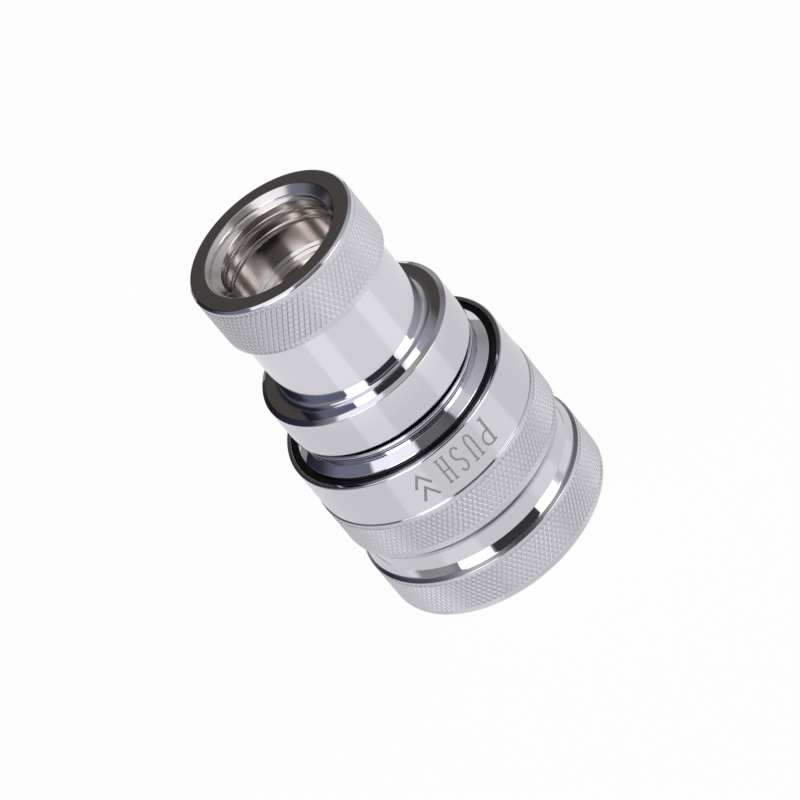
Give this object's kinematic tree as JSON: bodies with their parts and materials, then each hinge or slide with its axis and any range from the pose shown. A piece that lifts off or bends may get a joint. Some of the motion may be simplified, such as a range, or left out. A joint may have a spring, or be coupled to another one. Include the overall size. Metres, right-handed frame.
{
  "type": "liquid cooling quick coupling",
  "caption": "Chromed ball-lock quick coupling for coolant lines: a plug with a screwed port pushed into a socket with a knurled lock sleeve, poppet valves in both halves.",
  "frame": {"origin": "middle of the socket's flat end face, which is also the bottom of the whole coupling", "axes": "+Z along the common axis from the socket's port up to the plug's port"},
  "size_m": [0.0234, 0.0234, 0.0399],
  "materials": {
    "chromed_brass": "polished",
    "black_rubber": "matt",
    "black_plastic": "satin",
    "bare_brass": "turned",
    "spring_steel": "drawn wire",
    "ball_steel": "polished"
  },
  "bodies": {
    "socket": {"socket_adapter": "chromed_brass", "socket_body": "chromed_brass", "socket_joint_oring": "black_rubber", "socket_valve_guide": "bare_brass", "socket_valve_spring": "spring_steel"},
    "nose_seal": {"socket_bore_oring": "black_rubber"},
    "plug": {"plug_body": "chromed_brass", "plug_collar": "chromed_brass", "plug_joint_oring": "black_rubber", "plug_valve_guide": "bare_brass", "plug_valve_spring": "spring_steel"},
    "plug_valve": {"plug_poppet": "bare_brass", "plug_poppet_seal": "black_rubber"},
    "socket_valve": {"socket_poppet": "bare_brass", "socket_poppet_seal": "black_rubber"},
    "sleeve_ring": {"sleeve_guide_ring": "black_plastic"},
    "lock_sleeve": {"lock_sleeve": "chromed_brass"},
    "ball_1": {"lock_ball_1": "ball_steel"},
    "ball_2": {"lock_ball_2": "ball_steel"},
    "ball_3": {"lock_ball_3": "ball_steel"},
    "ball_4": {"lock_ball_4": "ball_steel"},
    "ball_5": {"lock_ball_5": "ball_steel"},
    "ball_6": {"lock_ball_6": "ball_steel"},
    "ball_7": {"lock_ball_7": "ball_steel"},
    "ball_8": {"lock_ball_8": "ball_steel"}
  },
  "joints": [
    {"name": "plug_swivel", "type": "hinge", "parent": "socket", "child": "nose_seal", "pos_m": [0, 0, 0.0118], "axis": [0, 0, 1], "continuous": true},
    {"name": "plug_slide", "type": "slide", "parent": "nose_seal", "child": "plug", "axis": [0, 0, 1], "range_m": [0, 0.014]},
    {"name": "plug_valve_slide", "type": "slide", "parent": "plug", "child": "plug_valve", "axis": [0, 0, -1], "range_m": [0, 0.0017], "deforming": ["plug_valve_spring"]},
    {"name": "socket_valve_slide", "type": "slide", "parent": "socket", "child": "socket_valve", "axis": [0, 0, 1], "range_m": [0, 0.0017], "deforming": ["socket_valve_spring"]},
    {"name": "sleeve_spin", "type": "hinge", "parent": "socket", "child": "sleeve_ring", "pos_m": [0, 0, 0.0179], "axis": [0, 0, 1], "continuous": true},
    {"name": "sleeve_slide", "type": "slide", "parent": "sleeve_ring", "child": "lock_sleeve", "axis": [0, 0, 1], "range_m": [0, 0.0018]},
    {"name": "ball_1_slide", "type": "slide", "parent": "socket", "child": "ball_1", "axis": [-1, 0, 0], "range_m": [0, 0.00035]},
    {"name": "ball_2_slide", "type": "slide", "parent": "socket", "child": "ball_2", "axis": [-0.7071, -0.7071, 0], "range_m": [0, 0.00035]},
    {"name": "ball_3_slide", "type": "slide", "parent": "socket", "child": "ball_3", "axis": [0, -1, 0], "range_m": [0, 0.00035]},
    {"name": "ball_4_slide", "type": "slide", "parent": "socket", "child": "ball_4", "axis": [0.7071, -0.7071, 0], "range_m": [0, 0.00035]},
    {"name": "ball_5_slide", "type": "slide", "parent": "socket", "child": "ball_5", "axis": [1, 0, 0], "range_m": [0, 0.00035]},
    {"name": "ball_6_slide", "type": "slide", "parent": "socket", "child": "ball_6", "axis": [0.7071, 0.7071, 0], "range_m": [0, 0.00035]},
    {"name": "ball_7_slide", "type": "slide", "parent": "socket", "child": "ball_7", "axis": [0, 1, 0], "range_m": [0, 0.00035]},
    {"name": "ball_8_slide", "type": "slide", "parent": "socket", "child": "ball_8", "axis": [-0.7071, 0.7071, 0], "range_m": [0, 0.00035]}
  ],
  "couplings": [
    {"joint": "plug_valve_slide", "follows": "plug_slide", "ratio": 0.12142},
    {"joint": "socket_valve_slide", "follows": "plug_slide", "ratio": 0.12142},
    {"joint": "ball_1_slide", "follows": "sleeve_slide", "ratio": 0.19444},
    {"joint": "ball_2_slide", "follows": "sleeve_slide", "ratio": 0.19444},
    {"joint": "ball_3_slide", "follows": "sleeve_slide", "ratio": 0.19444},
    {"joint": "ball_4_slide", "follows": "sleeve_slide", "ratio": 0.19444},
    {"joint": "ball_5_slide", "follows": "sleeve_slide", "ratio": 0.19444},
    {"joint": "ball_6_slide", "follows": "sleeve_slide", "ratio": 0.19444},
    {"joint": "ball_7_slide", "follows": "sleeve_slide", "ratio": 0.19444},
    {"joint": "ball_8_slide", "follows": "sleeve_slide", "ratio": 0.19444}
  ]
}
